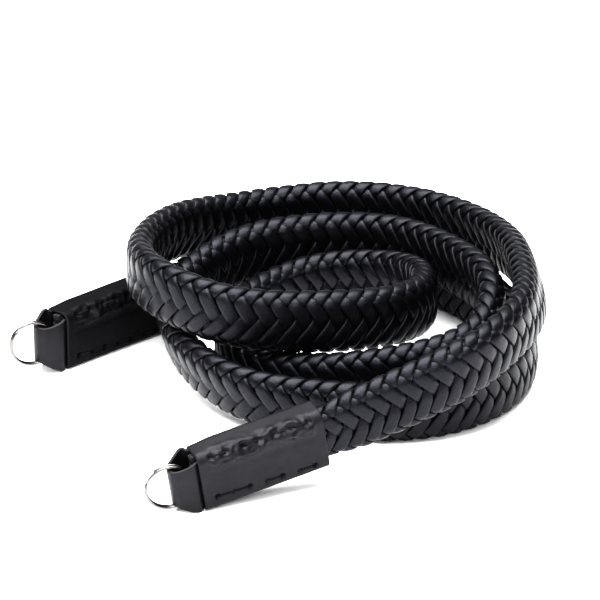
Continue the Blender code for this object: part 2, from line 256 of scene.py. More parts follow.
def strap_guide():
    """The strap's middle line every millimetre: places, directions, leans and distances from the nearer mouth."""
    left, near = END_FRAMES["left"], END_FRAMES["near"]
    left_axis = np.array(left.to_3x3() @ Vector((1, 0, 0)))
    near_axis = np.array(near.to_3x3() @ Vector((-1, 0, 0)))
    free = [(*(left @ Vector((SLEEVE_LENGTH, 0, 0))), -ENDS["left"]["roll"])]
    for across, away, lift, lean in STATIONS:
        free.append((across * COIL_DIAMETER, away * COIL_DIAMETER, (lift + 0.5) * STRAP_WIDTH, lean))
    free.append((*(near @ Vector((SLEEVE_LENGTH, 0, 0))), ENDS["near"]["roll"]))
    curve = solve_curve(free, np.array([*left_axis, 0.0]), np.array([*near_axis, 0.0]))
    values, slopes = read_curve(curve, np.linspace(0, curve[1][-1], LINE_SAMPLES))
    inside = np.arange(BRAID_END_INSET, SLEEVE_LENGTH, GUIDE_STEP)
    start, finish = np.array(left.translation), np.array(near.translation)
    places = np.vstack([
        start + inside[:, None] * left_axis, values[:, :3], finish - inside[::-1, None] * near_axis,
    ])
    directions = np.vstack([np.tile(left_axis, (len(inside), 1)), slopes[:, :3], np.tile(near_axis, (len(inside), 1))])
    leans = np.concatenate([
        np.full(len(inside), free[0][3]), values[:, 3], np.full(len(inside), free[-1][3]),
    ])
    run = travelled(places)
    count = round(run[-1] / GUIDE_STEP) + 1
    even = np.linspace(0, run[-1], count)
    sample = lambda column: np.interp(even, run, column)
    places, directions = (np.stack([sample(table[:, k]) for k in range(3)], axis=1) for table in (places, directions))
    directions /= np.linalg.norm(directions, axis=1)[:, None]
    distances = np.minimum(even, run[-1] - even) + BRAID_END_INSET
    return places, directions, np.radians(sample(leans)), distances, run[-1]


def strap_size(distances):
    """Width and thickness of the braid at distances from the nearer mouth."""
    neck = (SLEEVE_HEIGHT - 2 * SLEEVE_WALL - 2 * SEAT_GAP, SLEEVE_THICKNESS - 2 * SLEEVE_WALL - 2 * SEAT_GAP)
    thin = neck[1] - 2 * (TAB_LEATHER + SEAT_GAP)
    outside = ease((distances - SLEEVE_LENGTH) / NECK_LENGTH)
    between = ease((distances - TAB_INSIDE - SEAT_GAP) / THIN_LENGTH)
    width = neck[0] + (STRAP_WIDTH - neck[0]) * outside
    thickness = np.where(
        distances < SLEEVE_LENGTH, thin + (neck[1] - thin) * between, neck[1] + (STRAP_THICKNESS - neck[1]) * outside
    )
    return width, thickness


places, directions, leans, distances, strap_length = strap_guide()
widths, thicknesses = strap_size(distances)
flat_side = np.cross(directions, (0, 0, 1))
flat_side /= np.linalg.norm(flat_side, axis=1)[:, None]
flat_up = np.cross(flat_side, directions)
cosines, sines = np.cos(leans)[:, None], np.sin(leans)[:, None]
sides = flat_side * cosines + flat_up * sines
ups = flat_up * cosines - flat_side * sines
print("strap:", round(strap_length * 1000), "mm from mouth to mouth,", len(places), "guide points")

# %% [markdown]
# The section that the laces wrap round
#
# Cut across, the strap is a flattened oval with round rims. It is stored as points at even distances round the
# outline, starting on the top rim and going down the face that looks away from the middle of the coil. With even
# distances a share of the way round is the same as a share of the lace's travel.

# %% Outline of the section, and where the whole strap lies
OUTLINE_POINTS = 120
RIM_SAMPLES = 200
FACE_SAMPLES = 100


def strap_outline():
    """Even points and outward normals round the section, from the top rim down the outer face."""
    rim = STRAP_THICKNESS / 2 * RIM_SHARE
    straight = STRAP_WIDTH / 2 - rim
    bulge = STRAP_THICKNESS / 2 - rim
    points = []
    for turn in np.linspace(0, np.pi / 2, RIM_SAMPLES):
        points.append((-rim * math.sin(turn), straight + rim * math.cos(turn)))
    for share in np.linspace(0, 1, FACE_SAMPLES)[1:]:
        points.append((-rim - bulge * math.sin(share * np.pi / 2), straight * (1 - share)))
    quarter = np.array(points)
    half = np.vstack([quarter, quarter[-2::-1] * (1, -1)])
    whole = np.vstack([half, half[-2:0:-1] * (-1, 1), half[:1]])
    run = travelled(whole)
    even = np.linspace(0, run[-1], OUTLINE_POINTS + 1)
    x, y = np.interp(even, run, whole[:, 0]), np.interp(even, run, whole[:, 1])
    dx, dy = np.gradient(x), np.gradient(y)
    dx[0] = dx[-1] = (dx[0] + dx[-1]) / 2
    dy[0] = dy[-1] = (dy[0] + dy[-1]) / 2
    length = np.hypot(dx, dy)
    return np.stack([x, y], axis=1), np.stack([dy / length, -dx / length], axis=1), run[-1]


outline, outline_normals, perimeter = strap_outline()
skin = (
    places[:, None]
    + sides[:, None] * (outline[None, :, :1] * (thicknesses / STRAP_THICKNESS)[:, None, None])
    + ups[:, None] * (outline[None, :, 1:] * (widths / STRAP_WIDTH)[:, None, None])
).reshape(-1, 3)
low, high = (np.array(corner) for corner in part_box("braided_strap"))
shift = ((low - skin.min(0)) + (high - skin.max(0))) / 2
print("round the section:", round(perimeter * 1000, 1), "mm; shift to the solid's place:", shift.round(5))
print("left over at the corners:", ((low - skin.min(0) - shift) * 1000).round(2), "mm")
places = places + shift
SHIFT = Vector(shift)
for name in END_FRAMES:
    END_FRAMES[name] = Matrix.Translation(SHIFT) @ END_FRAMES[name]

# %% [markdown]
# The camera
#
# The strap is looked down on by 25 degrees from far away, so its far side is hardly smaller than its near side:
# that is a long lens. An object in Blender is a name and a place for some data, so one small function links every
# new object to the scene.

# %% Camera
CAMERA_DISTANCE = 1.600
CAMERA_DOWN = math.radians(25.0)
SENSOR = 36.0
FOCAL_PIXELS = 5012.8
PICTURE_PIXELS = 600.0
AIM = Vector((-0.01156, 0.0370, 0.0)) + SHIFT


def new_object(name, data):
    """An object that shows its data, linked to the scene."""
    item = bpy.data.objects.new(name, data)
    scene.collection.objects.link(item)
    return item


camera_data = bpy.data.cameras.new("camera")
camera_data.sensor_width = SENSOR
camera_data.sensor_fit = "HORIZONTAL"
camera_data.lens = FOCAL_PIXELS / PICTURE_PIXELS * SENSOR
camera_data.clip_start = 0.05
camera_data.clip_end = 20.0
camera = new_object("camera", camera_data)
camera.location = AIM + CAMERA_DISTANCE * Vector((0, -math.cos(CAMERA_DOWN), math.sin(CAMERA_DOWN)))
camera.rotation_euler = (math.pi / 2 - CAMERA_DOWN, 0, 0)
scene.camera = camera
print("lens", round(camera_data.lens, 1), "mm from", [round(v, 3) for v in camera.location])

# %% [markdown]
# Short calls for nodes
#
# Materials and Geometry Nodes are both trees of nodes joined by links, so one kit serves both. A call names a kind
# of node and gives its values. A keyword in lower case is a setting of the node, and one with a capital is an
# input. An input takes a plain value or the output of another node.

# %% A kit for nodes and materials
class Kit:
    """Builds a tree of nodes with short calls."""

    def __init__(self, tree):
        self.nodes, self.links = tree.nodes, tree.links

    def put(self, socket, value):
        """Links a socket, or sets its value."""
        value = getattr(value, "socket", value)
        if isinstance(value, bpy.types.NodeSocket):
            self.links.new(value, socket)
        else:
            socket.default_value = value

    def node(self, kind, *values, **named):
        """A node, fed by its settings first, then in the order of its visible inputs, then by their names."""
        node = self.nodes.new(kind)
        for key, value in named.items():
            if key.islower():
                setattr(node, key, value)
        for socket, value in zip([socket for socket in node.inputs if socket.enabled], values):
            self.put(socket, value)
        for key, value in named.items():
            if not key.islower():
                self.put(node.inputs[key.replace("_", " ")], value)
        return node

    def out(self, node, name=None):
        """The first visible output, or the named one."""
        return next(socket for socket in node.outputs if socket.enabled and name in (None, socket.name))

    def mix(self, first, second, share, kind="FLOAT"):
        """A blend of two values."""
        return self.out(self.node("ShaderNodeMix", share, first, second, data_type=kind))


class Skin(Kit):
    """A material whose textures lie in the object's own coordinates."""

    def __init__(self, name, **inputs):
        self.material = bpy.data.materials.new(name)
        self.material.use_nodes = True
        super().__init__(self.material.node_tree)
        self.place = self.out(self.node("ShaderNodeTexCoord"), "Object")
        self.wear(**inputs)

    def wear(self, **inputs):
        """Feeds inputs of the shader."""
        for key, value in inputs.items():
            self.put(self.nodes["Principled BSDF"].inputs[key.replace("_", " ")], value)

    def texture(self, kind, output=None, **named):
        """The value of a texture."""
        return self.out(self.node("ShaderNodeTex" + kind, Vector=self.place, **named), output)

    def ramp(self, value, low, high, start=0.0, end=1.0):
        """A colour between two, chosen by a value."""
        node = self.node("ShaderNodeValToRGB", value)
        for element, position, color in zip(node.color_ramp.elements, (start, end), (low, high)):
            element.position = position
            element.color = (*color, 1)
        return self.out(node)

    def spread(self, value, *spans, **settings):
        """A value brought from one span to another."""
        return self.out(self.node("ShaderNodeMapRange", value, *spans, **settings))

    def bump(self, height, strength, distance):
        """Relief too fine for the mesh."""
        node = self.node("ShaderNodeBump", Strength=strength, Distance=distance, Height=height)
        self.wear(Normal=self.out(node))


def mottled(name, colors, texture, bump=None, rough=None, **inputs):
    """A material whose one texture sets its tone and, where asked, its relief and its polish."""
    skin = Skin(name, **inputs)
    value = skin.texture(**texture)
    skin.wear(Base_Color=skin.ramp(value, *colors))
    if bump:
        skin.bump(value, *bump)
    if rough:
        skin.wear(Roughness=skin.spread(value, *rough))
    return skin.material


# %% [markdown]
# Table and light
#
# The table is plain, white and lit so strongly that its shadows almost vanish. Black leather is seen mostly by what
# it mirrors: the table on its upright faces, and the soft overhead light on its upper curves.

# %% Table and lights
TABLE_SIZE = 6.0
WORLD_STRENGTH = 0.32
AIMED_AT = Vector((0, 0, 0.02))

table_mesh = bpy.data.meshes.new("table")
half = TABLE_SIZE / 2
table_mesh.from_pydata([(-half, -half, 0), (half, -half, 0), (half, half, 0), (-half, half, 0)], [], [(0, 1, 2, 3)])
table_mesh.materials.append(mottled(
    "white_table", ((0.96, 0.96, 0.96), (0.985, 0.985, 0.985)), dict(kind="Noise", Scale=6.0, Detail=3.0),
    Roughness=0.6,
))
table = new_object("table", table_mesh)

world = bpy.data.worlds.new("studio")
world.use_nodes = True
world.node_tree.nodes["Background"].inputs["Color"].default_value = (1.0, 1.0, 1.0, 1)
world.node_tree.nodes["Background"].inputs["Strength"].default_value = WORLD_STRENGTH
scene.world = world
scene.view_settings.view_transform = "Standard"
scene.view_settings.look = "High Contrast"

# Name, place, size, watts
LIGHTS = (
    ("overhead", (-0.15, 0.05, 1.20), 1.45, 68.0),
    ("left", (-1.05, -0.55, 1.00), 0.80, 7.0),
    ("front", (0.10, -1.25, 0.95), 0.80, 14.0),
)
for name, place, size, power in LIGHTS:
    data = bpy.data.lights.new(name, "AREA")
    data.shape = "SQUARE"
    data.size = size
    data.energy = power
    light = new_object(name, data)
    light.location = place
    light.rotation_euler = (AIMED_AT - Vector(place)).to_track_quat("-Z", "Y").to_euler()
print("lights:", [light[0] for light in LIGHTS])

# %% [markdown]
# The braiding laces
#
# Twelve laces go round the strap, six one way and six the other, each over two and under two. A lace is
# simplest to see on the strap's skin rolled out flat: it is a straight slanted ribbon, and it rises over the
# laces it crosses on its own stretch and dives under them on the next. So a lace can be a plain grid whose
# points are moved by a rule: how far along the strap, how far round the section, and how high above the skin.
# Geometry Nodes carry the rule once, and a few inputs tell the laces apart.

# %% Tables that the lace rule looks up
def points_object(name, positions, **attributes):
    """A hidden mesh of loose points that carry named values."""
    mesh = bpy.data.meshes.new(name)
    mesh.from_pydata([tuple(p) for p in positions], [], [])
    for key, values in attributes.items():
        values = np.asarray(values, dtype=np.float32)
        kind = "FLOAT_VECTOR" if values.ndim == 2 else "FLOAT"
        attribute = mesh.attributes.new(key, kind, "POINT")
        attribute.data.foreach_set("vector" if values.ndim == 2 else "value", values.ravel())
    item = new_object(name, mesh)
    item.hide_render = True
    return item


thick_scales = thicknesses / STRAP_THICKNESS
scales = np.stack([thick_scales, widths / STRAP_WIDTH, np.minimum(1.0, thick_scales)], axis=1)
guide_points = points_object("guide_points", places, side=sides, up=ups, sizes=scales)
flat = np.zeros((len(outline), 1))
outward = np.hstack([outline_normals, flat])
outline_points = points_object("outline_points", np.hstack([outline, flat]), outward=outward)

# The lace's own section: share of half its width, share of half its thickness
LACE_SECTION = (
    (-0.99, -0.60), (-1.00, 0.20), (-0.97, 0.56), (-0.89, 0.78), (-0.52, 0.95), (0.00, 1.03), (0.52, 0.95),
    (0.89, 0.78), (0.97, 0.56), (1.00, 0.20), (0.99, -0.60), (0.60, -1.00), (-0.60, -1.00), (-0.99, -0.60),
)
section_points = points_object("section_points", [(v, h, 0.0) for v, h in LACE_SECTION])

# %% [markdown]
# Short calls for Geometry Nodes
#
# A tree of Geometry Nodes works out a number for every point at once, with a node for each sum. Written out, a
# formula of ten sums is ten nodes and their links. The class Value stands for such a number, so that a formula
# can be written as one: each plus, minus, times or divide puts its node into the tree.

# %% A kit for Geometry Nodes
MERGE_WITHIN = 1e-7


class Value:
    """An output inside a tree; arithmetic on it adds the matching nodes."""

    def __init__(self, tree, socket):
        self.tree, self.socket = tree, socket

    def __add__(self, other):
        return self.tree.math("ADD", self, other)

    def __sub__(self, other):
        return self.tree.math("SUBTRACT", self, other)

    def __rsub__(self, other):
        return self.tree.math("SUBTRACT", other, self)

    def __mul__(self, other):
        return self.tree.math("MULTIPLY", self, other)

    def __truediv__(self, other):
        return self.tree.math("DIVIDE", self, other)

    __radd__, __rmul__ = __add__, __mul__


class Tree(Kit):
    """Builds a tree that a modifier can run."""

    def __init__(self, name):
        self.group = bpy.data.node_groups.new(name, "GeometryNodeTree")
        self.group.is_modifier = True
        super().__init__(self.group)
        for way in ("INPUT", "OUTPUT"):
            self.group.interface.new_socket("Geometry", in_out=way, socket_type="NodeSocketGeometry")
        self.inputs = self.nodes.new("NodeGroupInput")
        self.outputs = self.nodes.new("NodeGroupOutput")
        self.identifiers = {}

    def ask(self, kind, *names):
        """Named inputs of the tree, all of one kind."""
        for name in names:
            socket = self.group.interface.new_socket(name, in_out="INPUT", socket_type="NodeSocket" + kind)
            self.identifiers[name] = socket.identifier
        return [Value(self, self.inputs.outputs[name]) for name in names]

    def out(self, node, name=None):
        return Value(self, super().out(node, name))

    def math(self, operation, *values):
        return self.out(self.node("ShaderNodeMath", *values, operation=operation))

    def vector(self, operation, *values):
        return self.out(self.node("ShaderNodeVectorMath", *values, operation=operation))

    def split(self, vector):
        node = self.node("ShaderNodeSeparateXYZ", vector)
        return [self.out(node, axis) for axis in "XYZ"]

    def join(self, x, y, z):
        return self.out(self.node("ShaderNodeCombineXYZ", x, y, z))

    def attribute(self, name):
        return self.out(self.node("GeometryNodeInputNamedAttribute", name, data_type="FLOAT_VECTOR"), "Attribute")

    def object_mesh(self, item):
        return self.out(self.node("GeometryNodeObjectInfo", item), "Geometry")

    def look_up(self, geometry, value, index):
        """A vector at one index of another mesh's points."""
        settings = dict(data_type="FLOAT_VECTOR", domain="POINT", clamp=True)
        return self.out(self.node("GeometryNodeSampleIndex", geometry, value, index, **settings))

    def look_between(self, geometry, value, place):
        """A vector between two neighbouring points of another mesh."""
        below = self.math("FLOOR", place)
        first, second = (self.look_up(geometry, value, index) for index in (below, below + 1.0))
        return self.mix(first, second, place - below, "VECTOR")

    def grid(self, rows, columns):
        """A flat grid, with the row and the column of each point."""
        mesh = self.out(self.node("GeometryNodeMeshGrid", 1.0, 1.0, rows, columns), "Mesh")
        index = self.out(self.node("GeometryNodeInputIndex"))
        row = self.math("FLOOR", (index + 0.5) / columns)
        return mesh, row, index - row * columns

    def mould(self, mesh, position):
        """A mesh with its points moved, those that meet merged, and its faces smooth."""
        moved = self.out(self.node("GeometryNodeSetPosition", Geometry=mesh, Position=position))
        merged = self.out(self.node("GeometryNodeMergeByDistance", Geometry=moved, Distance=MERGE_WITHIN))
        return self.out(self.node("GeometryNodeSetShadeSmooth", Geometry=merged))

    def finish(self, geometry, material):
        """Ends the tree in real meshes with their material."""
        real = self.out(self.node("GeometryNodeRealizeInstances", geometry))
        dressed = self.node("GeometryNodeSetMaterial", Geometry=real, Material=material)
        self.put(self.outputs.inputs["Geometry"], self.out(dressed))
        return self


def inside_volume(mesh):
    """Volume inside a closed mesh, negative where its faces look inward."""
    corners = np.empty(len(mesh.vertices) * 3)
    mesh.vertices.foreach_get("co", corners)
    corners = corners.reshape(-1, 3)
    corners -= corners.mean(0)
    mesh.calc_loop_triangles()
    triangles = np.empty(len(mesh.loop_triangles) * 3, dtype=int)
    mesh.loop_triangles.foreach_get("vertices", triangles)
    a, b, c = corners[triangles.reshape(-1, 3)].transpose(1, 0, 2)
    return float((a * np.cross(b, c)).sum() / 6)


def grow(tree, name, values):
    """Runs a tree on an empty mesh and keeps the result as a plain mesh object, turned right side out."""
    host = new_object(name + "_host", bpy.data.meshes.new(name + "_host"))
    modifier = host.modifiers.new("grow", "NODES")
    modifier.node_group = tree.group
    for key, value in values.items():
        modifier[tree.identifiers[key]] = value
    host.update_tag()
    bpy.context.view_layer.update()
    evaluated = host.evaluated_get(bpy.context.evaluated_depsgraph_get())
    mesh = bpy.data.meshes.new_from_object(evaluated)
    mesh.name = name
    host.modifiers.clear()
    bpy.data.objects.remove(host, do_unlink=True)
    if inside_volume(mesh) < 0:
        mesh.flip_normals()
    return new_object(name, mesh)


# %% [markdown]
# The lace rule
#
# A point of the grid knows its row, which is the way along the lace, and its column, which is the way round the
# lace's own section. While the lace travels one lead along the strap it goes once round. The wave that lifts and
# lowers it depends on the share of the way round, skewed by the distance from the lace's middle, so that it dives
# exactly along the edge of the lace that crosses it. A little noise keeps the pieces from being all alike.

# %% The braid tree
LACES_EACH_WAY = 6
PIECE_PITCH = 0.00525
LEAD = PIECE_PITCH * LACES_EACH_WAY
LACE_FILL = 0.895
LACE_WIDTH = PIECE_PITCH * LACE_FILL
LACE_THICKNESS = 0.00125
LACE_DEPTH = 0.00072
LACE_SWELL = 0.00034
ROWS_PER_LEAD = 54
LACE_ROWS = round(strap_length / LEAD * ROWS_PER_LEAD)
WANDER_SCALE = 150.0
UNEVENNESS = 0.16
CROSSING_EDGE = 0.60
CROSSING_SHARPNESS = 0.66


def braid_tree(material):
    """One lace of the braid, as a closed ribbon along the strap."""
    tree = Tree("braid_lace")
    handing, phase, seed = tree.ask("Float", "Handing", "Phase", "Seed")
    guide, outline_mesh, section_mesh = map(tree.object_mesh, (guide_points, outline_points, section_points))
    grid, row, column = tree.grid(LACE_ROWS, len(LACE_SECTION))
    position = tree.out(tree.node("GeometryNodeInputPosition"))
    length = float(strap_length)
    middle = row / (LACE_ROWS - 1.0) * (length + LACE_WIDTH) - LACE_WIDTH * 0.5
    across, height, _ = tree.split(tree.look_up(section_mesh, position, column))

    # Slow wander along the lace: sideways, in height and in twist
    spot = tree.join(middle * WANDER_SCALE, seed, 0.0)
    cloud = tree.node("ShaderNodeTexNoise", noise_dimensions="2D", Vector=spot, Scale=1.0, Detail=1.0)
    wander = tree.vector("SUBTRACT", tree.out(cloud, "Color"), (0.5, 0.5, 0.5))
    sideways, lift, twist = tree.split(tree.vector("SCALE", wander, UNEVENNESS))
    offset = (across + sideways) * (LACE_WIDTH * 0.5)

    # Place round the section and along the strap
    turn = handing * (middle / LEAD) + phase
    along = tree.math("MAXIMUM", 0.0, tree.math("MINIMUM", length, middle + offset))
    on_outline = tree.math("FRACT", turn) * OUTLINE_POINTS
    on_guide = along / (length / (len(places) - 1))

    # Over two and under two: a full wave for every four laces that are crossed
    skewed = turn + handing * (offset / (LEAD * 2.0))
    wave = tree.math("COSINE", skewed * (2.0 * LACES_EACH_WAY) * (math.pi / 2))
    ends = (-CROSSING_EDGE, CROSSING_EDGE, -1.0, 1.0)
    sharp = tree.out(tree.node("ShaderNodeMapRange", wave, *ends, interpolation_type="SMOOTHSTEP"))
    shaped = tree.mix(wave, sharp, CROSSING_SHARPNESS)
    wobble = (lift + twist * across) * LACE_THICKNESS
    inset = LACE_THICKNESS * 0.5 + LACE_DEPTH - LACE_SWELL
    above = shaped * handing * LACE_DEPTH + height * 0.5 * LACE_THICKNESS + wobble - inset

    # From the rolled-out skin to the real place
    place_x, place_y, _ = tree.split(tree.look_between(outline_mesh, position, on_outline))
    out_x, out_y, _ = tree.split(tree.look_between(outline_mesh, tree.attribute("outward"), on_outline))
    centre = tree.look_between(guide, position, on_guide)
    side, up, sizes = (tree.look_between(guide, tree.attribute(name), on_guide) for name in ("side", "up", "sizes"))
    thick_size, wide_size, deep_size = tree.split(sizes)
    above = above * deep_size
    x = place_x * thick_size + out_x * above
    y = place_y * wide_size + out_y * above
    target = tree.vector("ADD", tree.vector("ADD", centre, tree.vector("SCALE", side, x)), tree.vector("SCALE", up, y))

    # A value for the leather's material, kept before the points are merged
    stored = tree.node(
        "GeometryNodeStoreNamedAttribute", data_type="FLOAT", domain="POINT", Geometry=grid, Name="lace", Value=across
    )
    return tree.finish(tree.mould(tree.out(stored), target), material)


print("each lace:", LACE_ROWS, "rows of", len(LACE_SECTION), "points")

# %% [markdown]
# Leather of the laces
#
# The laces are cut from thin dyed hide: near black, slightly blue in the highlights, with a fine pebbled grain,
# a satin face and a drier, paler line where the knife left the edge bare. A value kept on the lace tells the
# material how far a point is from the middle of the ribbon, so the bare edge follows every lace round the braid.

# %% Leather materials
def hide(name, edge, tone, faces, cut, polish, dull, pebble, crease, grain, bump, **inputs):
    """Near-black leather with a mottled face, drier cut edges, an uneven polish and a pebbled grain."""
    skin = Skin(name, **inputs)
    bare = edge(skin)
    shade = skin.ramp(skin.texture("Noise", Scale=tone, Detail=4.0, Roughness=0.6), *faces, 0.30, 0.72)
    skin.wear(Base_Color=skin.mix(shade, (*cut, 1), bare, "RGBA"))
    gloss = skin.spread(skin.texture("Noise", Scale=polish[0], Detail=3.0), 0.25, 0.75, *polish[1:])
    skin.wear(Roughness=skin.mix(gloss, dull, bare))
    pebbles = skin.texture("Voronoi", feature="SMOOTH_F1", Scale=pebble[0], Smoothness=pebble[1])
    creases = skin.texture("Noise", Scale=crease[0], Detail=crease[1], Roughness=crease[2])
    skin.bump(skin.out(skin.node("ShaderNodeMath", creases, grain, pebbles, operation="MULTIPLY_ADD")), *bump)
    return skin.material


def lace_edge(skin):
    """How bare a point of a lace is, by how far it is from the middle of the ribbon."""
    across = skin.out(skin.node("ShaderNodeAttribute", attribute_name="lace"), "Fac")
    away = skin.out(skin.node("ShaderNodeMath", across, operation="ABSOLUTE"))
    return skin.spread(away, 0.93, 0.99, 0.0, 0.85, interpolation_type="SMOOTHSTEP")


LACE_LEATHER = hide(
    "lace_leather", lace_edge, tone=90.0, faces=((0.0016, 0.0016, 0.0022), (0.0045, 0.0045, 0.0060)),
    cut=(0.0150, 0.0144, 0.0158), polish=(260.0, 0.30, 0.43), dull=0.52, pebble=(2400.0, 0.6),
    crease=(520.0, 4.0, 0.65), grain=1.6, bump=(0.40, 0.00016), Specular_IOR_Level=0.22,
    Specular_Tint=(0.86, 0.87, 1.0, 1),
)
print("material:", LACE_LEATHER.name)

# %% [markdown]
# Twelve laces from one tree
#
# The tree is run twelve times. A lace's handing says which way round it goes, its phase where it starts, and its
# seed how it wanders. The lead is the length of strap in which a lace goes once round.

# %% Grow the twelve laces
SEED_STEP = 7.3
SECOND_WAY_SEED = 50.0

BRAID_TREE = braid_tree(LACE_LEATHER)
LACES = []
for way in (1, -1):
    for number in range(LACES_EACH_WAY):
        label = ("rim" if way > 0 else "face") + f"_lace_{number + 1}"
        LACES.append(grow(BRAID_TREE, label, {
            "Handing": float(way),
            "Phase": number / LACES_EACH_WAY + (0.5 / LACES_EACH_WAY if way < 0 else 0.0),
            "Seed": SEED_STEP * number + (SECOND_WAY_SEED if way < 0 else 0.0),
        }))
print("tree of", len(BRAID_TREE.nodes), "nodes;", len(LACES), "laces of", len(LACES[0].data.polygons), "faces")

# %% [markdown]
# The core
#
# Inside the braid a few plain strands fill the section and keep it flat. Nothing of them shows but darkness
# between two laces, so one band a little thinner than the braid is enough. It is a stack of closed sections
# joined by faces, and so are the sleeves, the tabs and the cut ends further on.

# %% Loft the core
CORE_INSET = 0.0021
CORE_EVERY = slice(2, -2, 3)
CORE_ROUND = slice(0, OUTLINE_POINTS, 5)


def skin_mesh(name, sections, material, matrix=Matrix(), edges=None, ring=False):
    """A closed skin through sections, capped at both ends or joined into a ring."""
    sections = np.asarray(sections, dtype=float)
    count, around = sections.shape[:2]
    faces = []
    for i in range(count if ring else count - 1):
        first, second = i * around, (i + 1) % count * around
        for j in range(around):
            k = (j + 1) % around
            faces.append((first + j, first + k, second + k, second + j))
    if not ring:
        faces.append(tuple(reversed(range(around))))
        faces.append(tuple(range((count - 1) * around, count * around)))
    mesh = bpy.data.meshes.new(name)
    mesh.from_pydata(sections.reshape(-1, 3).tolist(), [], faces)
    mesh.transform(matrix)
    if inside_volume(mesh) < 0:
        mesh.flip_normals()
    if edges is not None:
        mesh.attributes.new("edge", "FLOAT", "POINT").data.foreach_set("value", np.asarray(edges, dtype=float).ravel())
    mesh.shade_smooth()
    mesh.materials.append(material)
    return new_object(name, mesh)


core_sections = []
for place, side, up, scale in zip(places[CORE_EVERY], sides[CORE_EVERY], ups[CORE_EVERY], scales[CORE_EVERY]):
    inner = outline[CORE_ROUND] * scale[:2] - outline_normals[CORE_ROUND] * CORE_INSET * scale[2]
    core_sections.append(place + side * inner[:, :1] + up * inner[:, 1:])
core = skin_mesh("braid_core", core_sections, mottled(
    "core_cord", ((0.004, 0.004, 0.005), (0.012, 0.012, 0.014)), dict(kind="Noise", Scale=900.0, Detail=3.0),
    bump=(0.5, 0.0002), Roughness=0.85,
))
print("core:", len(core.data.polygons), "faces")

for helper in (guide_points, outline_points, section_points):
    bpy.data.objects.remove(helper, do_unlink=True)

for piece in (*LACES, core):
    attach(piece, "root")
    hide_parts("braided_strap")

# %% [markdown]
# Outlines read by distance
#
# A sleeve is a tube, so its stack of sections runs over the outside, round the mouth's lip, back along the inside
# and round the other lip. Its seams lie at fixed distances round the outline, so the outline is read by distance.
# A value called edge is kept at every point: 1 where a knife has cut the leather, 0 on its face.

# %% Helpers for outlines
NOISE_SEED = Vector((3.1, 7.7, 1.9))
SLOPE_REACH = 0.0003


def loop_at(points, runs):
    """Points and outward normals at distances round a closed outline, and its length."""
    closed = np.array([*points, points[0]])
    run = travelled(closed)
    place = lambda at: np.stack([np.interp(at % run[-1], run, closed[:, k]) for k in range(2)], axis=1)
    ahead = place(runs + SLOPE_REACH) - place(runs - SLOPE_REACH)
    ahead /= np.linalg.norm(ahead, axis=1)[:, None]
    return place(runs), np.stack([ahead[:, 1], -ahead[:, 0]], axis=1), run[-1]


def wave_noise(values, seed):
    """Smooth noise for rows of three coordinates."""
    return np.array([noise.noise(Vector(value) + NOISE_SEED * seed) for value in values])


# %% [markdown]
# Leather of the sleeves and tabs
#
# This hide is smoother than the laces: a fine grain, and a dull dry look wherever the cut edge shows. The sleeve
# tucked against the coil gets a copy of the same hide with much less shine, which paints in the shade it lies in
# beside the coil. The same black thread is used on both sleeves.

# %% Sleeve leather and thread
# Shine of each copy of the hide: the left sleeve's low shine paints in the shade beside the coil
SHINES = {"left_sleeve_shaded_hide": 0.07, "near_sleeve_hide": 0.235, "tab_hide": 0.24}


def marked_edge(skin):
    """How bare a point is, by the value that its mesh keeps."""
    return skin.out(skin.node("ShaderNodeAttribute", attribute_name="edge"), "Fac")


LEFT_SHADED_HIDE, NEAR_HIDE, TAB_HIDE = (
    hide(
        name, marked_edge, tone=120.0, faces=((0.0030, 0.0029, 0.0033), (0.0062, 0.0060, 0.0068)),
        cut=(0.022, 0.021, 0.023), polish=(420.0, 0.42, 0.56), dull=0.75, pebble=(3000.0, 0.7),
        crease=(700.0, 5.0, 0.7), grain=1.3, bump=(0.30, 0.00008), Specular_IOR_Level=shine,
        Specular_Tint=(0.92, 0.90, 1.0, 1),
    )
    for name, shine in SHINES.items()
)
THREAD = mottled(
    "waxed_thread", ((0.0030, 0.0030, 0.0034), (0.0180, 0.0180, 0.0200)),
    dict(kind="Wave", output="Fac", Scale=900.0, Distortion=0.6, bands_direction="DIAGONAL"),
    bump=(0.5, 0.0001), Roughness=0.85, Specular_IOR_Level=0.08,
)
print("materials:", [material.name for material in (LEFT_SHADED_HIDE, NEAR_HIDE, TAB_HIDE, THREAD)])

# %% [markdown]
# The sleeves
#
# Two rows of thread close a sleeve, and both show on the face towards the viewer. The upper row sits on the
# rounded top edge and pulls the leather into lumps: it stands up between the holes, dips at each hole and leaves a
# soft groove below. The lower row lies flat in a narrow trench and falls towards the coil. Both come out again
# through the back. All of that is one height, added along the outline's normals, from two tables: one of the lumps
# beside the upper row, and one of the seams.

# %% Sleeve skins with their seams
SEAM_PITCH = 0.00522
SEAM_HOLES = 7
SEAM_START = 0.0041
UPPER_SEAM_DOWN = 0.0014
BACK_SEAM_DOWN = 0.0030
LOWER_SEAM_UP = 0.0042
LOWER_SEAM_FALL = 0.0018
LIP_RADIUS = 0.0004
LIP_STEPS = 5
SLEEVE_ROWS = 190
INSIDE_ROWS = 12
SLEEVE_AROUND = 136
CORNER_STEPS = 12
MOUTH_DROOP = 0.0006
DROOP_REACH = 0.008
WAVER = 0.00012

SLEEVE_POINTS = sleeve_outline(0.0, CORNER_STEPS)
dense = np.linspace(0, 1, 4000, endpoint=False)
_, _, SLEEVE_ROUND = loop_at(SLEEVE_POINTS, dense)
dense_loop, _, _ = loop_at(SLEEVE_POINTS, dense * SLEEVE_ROUND)


def run_at_height(up, side):
    """How far round the outline a face passes a height; side is -1 for the front face and 1 for the back one."""
    misses = np.where(dense_loop[:, 0] * side > 0, np.abs(dense_loop[:, 1] - up), 1.0)
    return dense[misses.argmin()] * SLEEVE_ROUND


